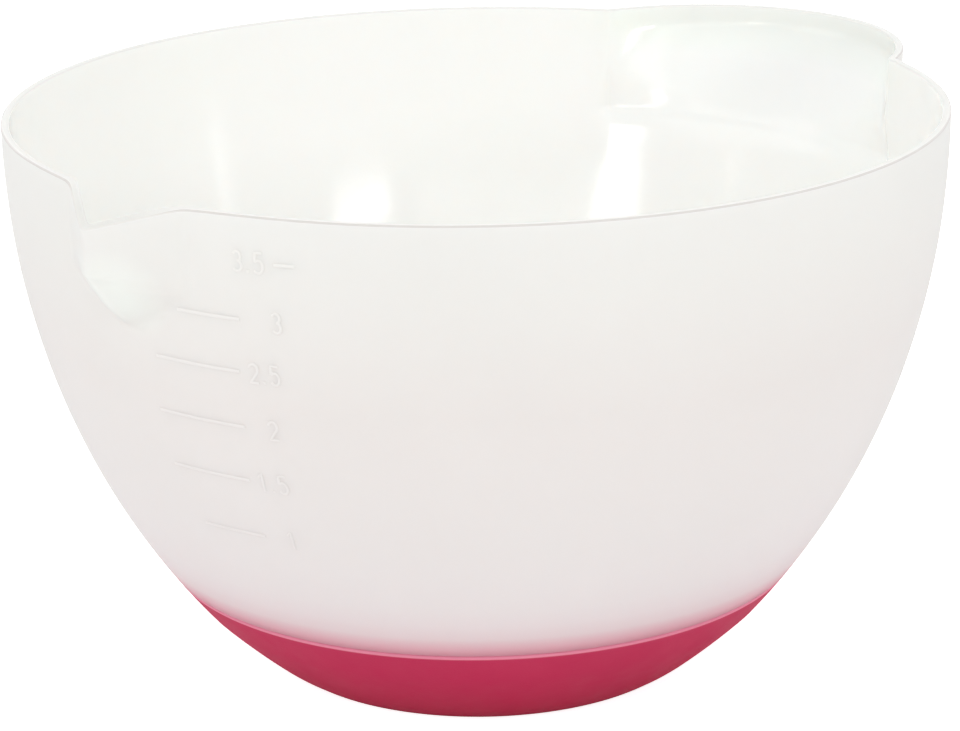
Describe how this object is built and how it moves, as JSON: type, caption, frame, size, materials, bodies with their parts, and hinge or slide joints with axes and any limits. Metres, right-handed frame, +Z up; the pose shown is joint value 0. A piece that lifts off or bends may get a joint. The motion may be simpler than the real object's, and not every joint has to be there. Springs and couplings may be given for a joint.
{
  "type": "batter bowl",
  "caption": "Round translucent mixing bowl with a pouring spout, a wide lobe opposite it and a soft non-slip base, for mixing and pouring batter.",
  "frame": {"origin": "centre of the flat foot, on the table", "axes": "+Z up, -X towards the pouring spout, +X towards the lobe"},
  "size_m": [0.2634, 0.23, 0.1404],
  "materials": {
    "shell_plastic": "frosted translucent, satin",
    "soft_base": "matte soft-touch"
  },
  "bodies": {
    "root": {"bowl_shell": "shell_plastic", "nonslip_base": "soft_base"}
  },
  "joints": []
}
